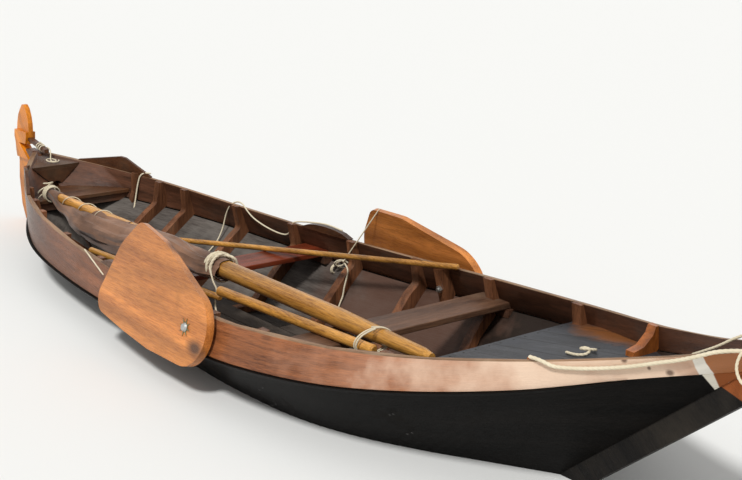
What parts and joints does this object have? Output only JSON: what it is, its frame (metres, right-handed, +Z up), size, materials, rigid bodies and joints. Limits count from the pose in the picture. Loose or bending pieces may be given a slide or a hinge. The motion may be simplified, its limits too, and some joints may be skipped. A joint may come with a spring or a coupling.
{
  "type": "flat-bottomed sailing punt",
  "caption": "Flat-bottomed double-ended wooden boat with frames, thwarts, hung rudder and tiller, swinging leeboards, and a mast, spars and rolled sail laid inside.",
  "frame": {"origin": "centre of the bounding box, on the flat bottom", "axes": "+X towards the bow, +Y to port, +Z up"},
  "size_m": [6.713, 1.7842, 1.0802],
  "materials": {
    "tarred_planks": "satin tar",
    "brown_varnish": "worn varnish",
    "frame_wood": "worn oil",
    "weathered_wood": "weathered",
    "red_wood": "varnish",
    "oiled_wood": "varnish",
    "spar_wood": "gloss varnish",
    "sailcloth": "matt",
    "old_copper": "weathered",
    "zinc_steel": "dull",
    "black_iron": "painted"
  },
  "bodies": {
    "hull": {"bottom_planks": "tarred_planks", "side_plank_port": "tarred_planks", "side_plank_starboard": "tarred_planks", "top_strake_port": "brown_varnish", "top_strake_starboard": "brown_varnish", "rub_strake_port": "tarred_planks", "rub_strake_starboard": "tarred_planks", "bow_stem": "tarred_planks", "stern_stem": "tarred_planks", "side_frames_port": "frame_wood", "side_frames_starboard": "frame_wood", "floor_timbers": "frame_wood", "floorboards": "weathered_wood", "mast_thwart": "brown_varnish", "red_thwart": "red_wood", "stern_bench": "brown_varnish", "thwart_cleats": "frame_wood", "foredeck": "weathered_wood", "foredeck_beam": "frame_wood", "stern_deck": "brown_varnish", "bench_beam": "frame_wood", "stern_apron": "brown_varnish", "stern_knees": "frame_wood", "bow_knees": "oiled_wood", "short_frames": "frame_wood", "quarter_board_port": "brown_varnish", "quarter_board_starboard": "brown_varnish", "rowlock_cheeks": "brown_varnish", "leeboard_bolts": "zinc_steel", "leeboard_pads": "brown_varnish", "bolt_nuts": "zinc_steel", "rudder_eyes": "black_iron", "mast": "spar_wood", "sprit": "spar_wood", "boom": "spar_wood", "pole": "spar_wood", "sail_bundle": "sailcloth"},
    "rudder": {"rudder_blade": "oiled_wood", "rudder_head": "oiled_wood", "rudder_cheeks": "oiled_wood", "tiller": "brown_varnish", "rudder_pins": "black_iron"},
    "leeboard_port": {"leeboard_port": "oiled_wood", "star_plate_port": "old_copper"},
    "leeboard_starboard": {"leeboard_starboard": "oiled_wood", "star_plate_starboard": "old_copper"}
  },
  "joints": [
    {"name": "rudder_swing", "type": "hinge", "parent": "hull", "child": "rudder", "pos_m": [-2.86109, 0, 0.42], "axis": [0.8125, 0, -0.583], "range_deg": [-30, 30]},
    {"name": "leeboard_port_swing", "type": "hinge", "parent": "hull", "child": "leeboard_port", "pos_m": [0.45271, 0.80353, 0.462], "axis": [0, 0.9659, 0.2588], "range_deg": [-66, 18]},
    {"name": "leeboard_starboard_swing", "type": "hinge", "parent": "hull", "child": "leeboard_starboard", "pos_m": [0.37831, -0.79345, 0.484], "axis": [0, 0.9659, -0.2588], "range_deg": [-78, 6]}
  ]
}
